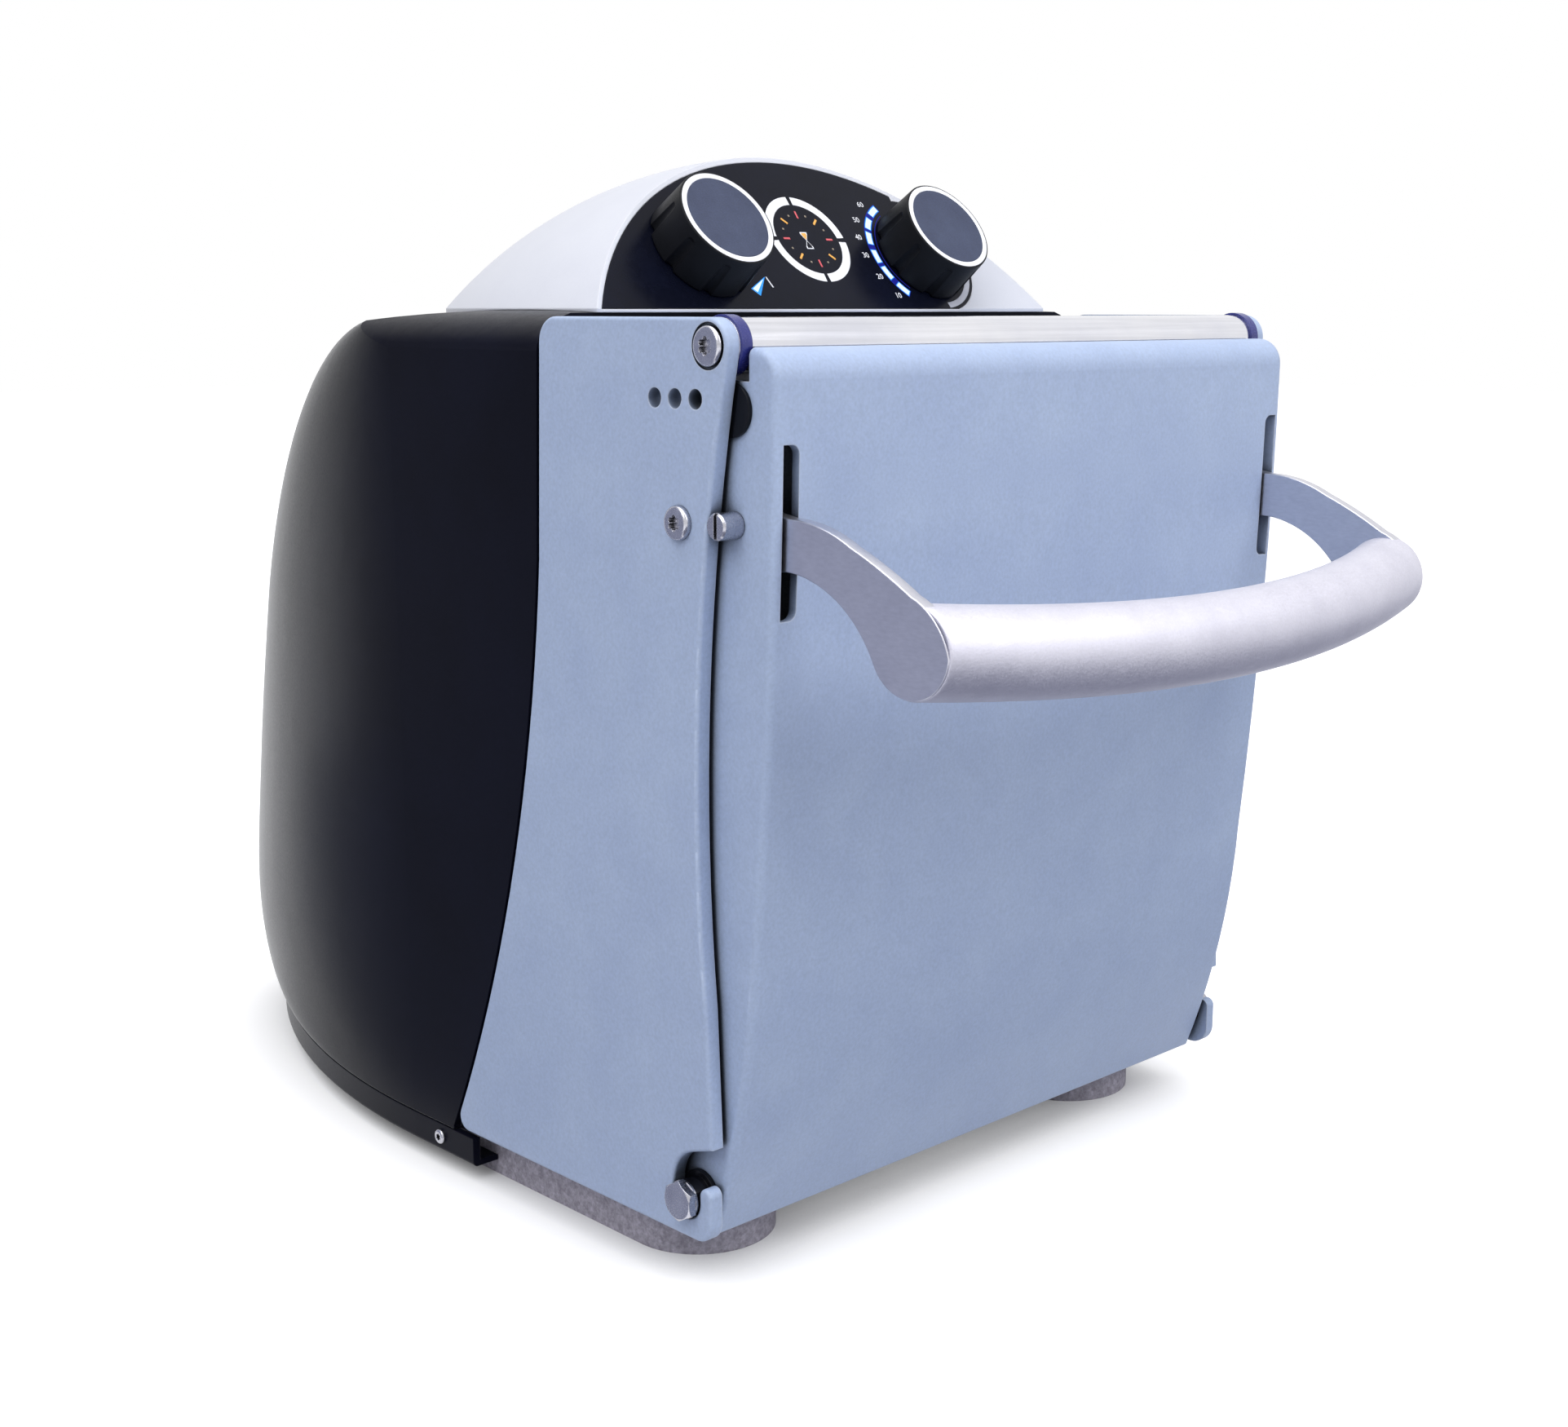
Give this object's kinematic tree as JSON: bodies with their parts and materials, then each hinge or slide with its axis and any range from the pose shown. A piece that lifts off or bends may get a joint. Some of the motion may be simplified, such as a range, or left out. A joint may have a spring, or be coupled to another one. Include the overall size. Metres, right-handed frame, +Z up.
{
  "type": "laboratory homogenizer",
  "caption": "Bench bag homogenizer: hinged door with a bowed handle, domed control console with two knobs, and two paddles driven by a crank.",
  "frame": {"origin": "on the bench, under the middle of the whole machine's length and width", "axes": "+Z up, -Y towards the door and its handle, +X to the right seen from the front"},
  "size_m": [0.278, 0.4866, 0.3608],
  "materials": {
    "blue_grey_paint": "fine-textured powder coat",
    "dark_cover": "satin moulded",
    "console_white": "satin moulded",
    "fascia_black": "glossy film",
    "knob_black": "fine matte",
    "cap_slate": "fine grain",
    "white_trim": "smooth",
    "blue_light": "lit light guide",
    "stainless": "fine brushed",
    "bright_bar": "lengthwise polished",
    "grip_aluminium": "bead blasted, anodised",
    "blue_ring": "smooth",
    "grey_foot": "speckled, cut edge",
    "black_plastic": "smooth",
    "seal_rubber": "soft silicone",
    "liner_plastic": "smooth",
    "cast_aluminium": "cast and machined",
    "bronze": "sintered",
    "belt_rubber": "toothed belt",
    "motor_paint": "smooth paint",
    "steel_core": "laminated",
    "board_green": "solder mask",
    "galvanised": "zinc plated sheet"
  },
  "bodies": {
    "machine": {"bar_end_rings": "blue_ring", "bar_screws": "stainless", "base_plate": "cast_aluminium", "chamber_liner": "stainless", "console_fascia": "fascia_black", "console_housing": "console_white", "control_board": "board_green", "cover_screws": "stainless", "crank_bearings": "steel_core", "dial_face": "fascia_black", "dial_ring": "white_trim", "display_board": "board_green", "drive_belt": "belt_rubber", "drive_housing": "cast_aluminium", "encoders": "black_plastic", "fascia_crescent": "white_trim", "foot_rails": "grey_foot", "inlet_panel": "galvanised", "latch_studs": "stainless", "lower_cover": "dark_cover", "mains_inlet": "black_plastic", "motor_cradle": "cast_aluminium", "motor_housing": "motor_paint", "motor_stator": "steel_core", "power_supply": "galvanised", "rear_cover": "dark_cover", "rear_feet": "grey_foot", "shaft_bushes": "bronze", "side_frame_left": "blue_grey_paint", "side_frame_right": "blue_grey_paint", "speed_lights": "blue_light", "switch_housing": "black_plastic", "time_pointer_light": "blue_light", "top_bar": "bright_bar", "top_plate": "blue_grey_paint"},
    "door": {"door_shell": "blue_grey_paint", "door_liner": "liner_plastic", "door_seal": "seal_rubber", "hinge_bolts": "stainless", "hinge_bushes": "black_plastic", "handle_pivot_pins": "stainless", "latch_discs": "black_plastic"},
    "handle": {"handle_arms": "stainless", "handle_grip": "grip_aluminium"},
    "crank": {"crankshaft": "steel_core", "eccentric_bearings": "steel_core", "crank_pulley": "cast_aluminium"},
    "left_paddle": {"paddle_left": "stainless", "paddle_rod_left": "stainless"},
    "right_paddle": {"paddle_right": "stainless", "paddle_rod_right": "stainless"},
    "rotor": {"motor_rotor": "steel_core", "motor_pulley": "cast_aluminium"},
    "speed_control": {"speed_knob": "knob_black", "speed_knob_ring": "white_trim", "speed_knob_cap": "cap_slate"},
    "time_control": {"time_knob": "knob_black", "time_knob_ring": "white_trim", "time_knob_cap": "cap_slate"},
    "rocker": {"power_rocker": "black_plastic"}
  },
  "joints": [
    {"name": "door_hinge", "type": "hinge", "parent": "machine", "child": "door", "pos_m": [0, -0.129, 0.0312], "axis": [1, 0, 0], "range_deg": [0, 60]},
    {"name": "handle_pivot", "type": "hinge", "parent": "door", "child": "handle", "pos_m": [0, -0.1459, 0.2446], "axis": [1, 0, 0], "range_deg": [-45, 15]},
    {"name": "crank_turn", "type": "hinge", "parent": "machine", "child": "crank", "pos_m": [0, -0.01, 0.166], "axis": [1, 0, 0], "range_deg": [-90, 90]},
    {"name": "left_paddle_slide", "type": "slide", "parent": "machine", "child": "left_paddle", "axis": [0, 1, 0], "range_m": [-0.00805, 0.00805]},
    {"name": "right_paddle_slide", "type": "slide", "parent": "machine", "child": "right_paddle", "axis": [0, 1, 0], "range_m": [-0.00805, 0.00805]},
    {"name": "rotor_turn", "type": "hinge", "parent": "machine", "child": "rotor", "pos_m": [0, 0.093, 0.112], "axis": [1, 0, 0], "range_deg": [-263, 263]},
    {"name": "speed_knob_turn", "type": "hinge", "parent": "machine", "child": "speed_control", "pos_m": [0.0553, -0.04897, 0.32648], "axis": [0, -0.809, 0.5878], "range_deg": [-135, 135]},
    {"name": "time_knob_turn", "type": "hinge", "parent": "machine", "child": "time_control", "pos_m": [-0.0553, -0.04897, 0.32648], "axis": [0, -0.809, 0.5878], "range_deg": [-135, 135]},
    {"name": "power_switch", "type": "hinge", "parent": "machine", "child": "rocker", "pos_m": [0.023, 0.207, 0.054], "axis": [1, 0, 0], "range_deg": [0, 14]}
  ],
  "couplings": [
    {"joint": "left_paddle_slide", "follows": "crank_turn", "m_per_rad": -0.005093},
    {"joint": "right_paddle_slide", "follows": "crank_turn", "m_per_rad": 0.005093},
    {"joint": "rotor_turn", "follows": "crank_turn", "ratio": 2.9167}
  ]
}
